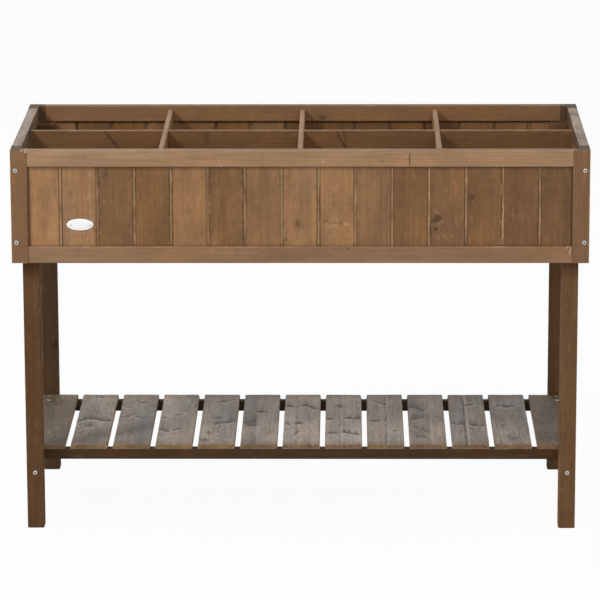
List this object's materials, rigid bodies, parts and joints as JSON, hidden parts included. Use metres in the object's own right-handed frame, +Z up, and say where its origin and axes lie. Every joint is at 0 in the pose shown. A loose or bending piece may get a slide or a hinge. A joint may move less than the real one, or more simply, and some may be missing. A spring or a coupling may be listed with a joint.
{
  "type": "raised garden bed",
  "caption": "Stained fir raised garden bed: panelled box with lift-out slotted dividers, on square legs joined by a slatted storage shelf.",
  "frame": {"origin": "middle of the bed on the ground between the four feet", "axes": "+X along the bed to the right as seen from the front, +Y from front to back, +Z up"},
  "size_m": [1.23, 0.54, 0.84],
  "materials": {
    "frame_wood": "brown stained fir, satin",
    "plank_wood": "brown stained fir planks, satin",
    "leg_wood": "brown stained fir, satin",
    "divider_wood": "brown stained fir, satin",
    "floor_wood": "brown stained fir, sawn",
    "shelf_wood": "brown stained fir, sawn and weathered",
    "screw_steel": "zinc plated",
    "plate_white": "white enamel"
  },
  "bodies": {
    "bed": {"back_bottom_rail": "frame_wood", "back_floor_cleat": "floor_wood", "back_left_leg": "leg_wood", "back_left_stile": "frame_wood", "back_planks": "plank_wood", "back_right_leg": "leg_wood", "back_right_stile": "frame_wood", "back_shelf_rail": "shelf_wood", "back_top_rail": "frame_wood", "corner_screws": "screw_steel", "crossbar_screws": "screw_steel", "floor_boards": "floor_wood", "front_bottom_rail": "frame_wood", "front_floor_cleat": "floor_wood", "front_left_leg": "leg_wood", "front_left_stile": "frame_wood", "front_planks": "plank_wood", "front_right_leg": "leg_wood", "front_right_stile": "frame_wood", "front_shelf_rail": "shelf_wood", "front_top_rail": "frame_wood", "left_floor_cleat": "floor_wood", "left_shelf_crossbar": "shelf_wood", "left_side_back_stile": "frame_wood", "left_side_bottom_rail": "frame_wood", "left_side_front_stile": "frame_wood", "left_side_planks": "plank_wood", "left_side_top_rail": "frame_wood", "leg_screws": "screw_steel", "right_floor_cleat": "floor_wood", "right_shelf_crossbar": "shelf_wood", "right_side_back_stile": "frame_wood", "right_side_bottom_rail": "frame_wood", "right_side_front_stile": "frame_wood", "right_side_planks": "plank_wood", "right_side_top_rail": "frame_wood", "shelf_screws": "screw_steel", "shelf_slat_01": "shelf_wood", "shelf_slat_02": "shelf_wood", "shelf_slat_03": "shelf_wood", "shelf_slat_04": "shelf_wood", "shelf_slat_05": "shelf_wood", "shelf_slat_06": "shelf_wood", "shelf_slat_07": "shelf_wood", "shelf_slat_08": "shelf_wood", "shelf_slat_09": "shelf_wood", "shelf_slat_10": "shelf_wood", "shelf_slat_11": "shelf_wood", "shelf_slat_12": "shelf_wood", "shelf_slat_13": "shelf_wood"},
    "long_divider": {"long_divider": "divider_wood"},
    "left_cross_divider": {"left_cross_divider": "divider_wood"},
    "middle_cross_divider": {"middle_cross_divider": "divider_wood"},
    "right_cross_divider": {"right_cross_divider": "divider_wood"}
  },
  "joints": [
    {"name": "long_divider_lift", "type": "slide", "parent": "bed", "child": "long_divider", "axis": [0, 0, 1], "range_m": [0, 0.23]},
    {"name": "left_cross_divider_lift", "type": "slide", "parent": "long_divider", "child": "left_cross_divider", "axis": [0, 0, 1], "range_m": [0, 0.23]},
    {"name": "middle_cross_divider_lift", "type": "slide", "parent": "long_divider", "child": "middle_cross_divider", "axis": [0, 0, 1], "range_m": [0, 0.23]},
    {"name": "right_cross_divider_lift", "type": "slide", "parent": "long_divider", "child": "right_cross_divider", "axis": [0, 0, 1], "range_m": [0, 0.23]}
  ]
}
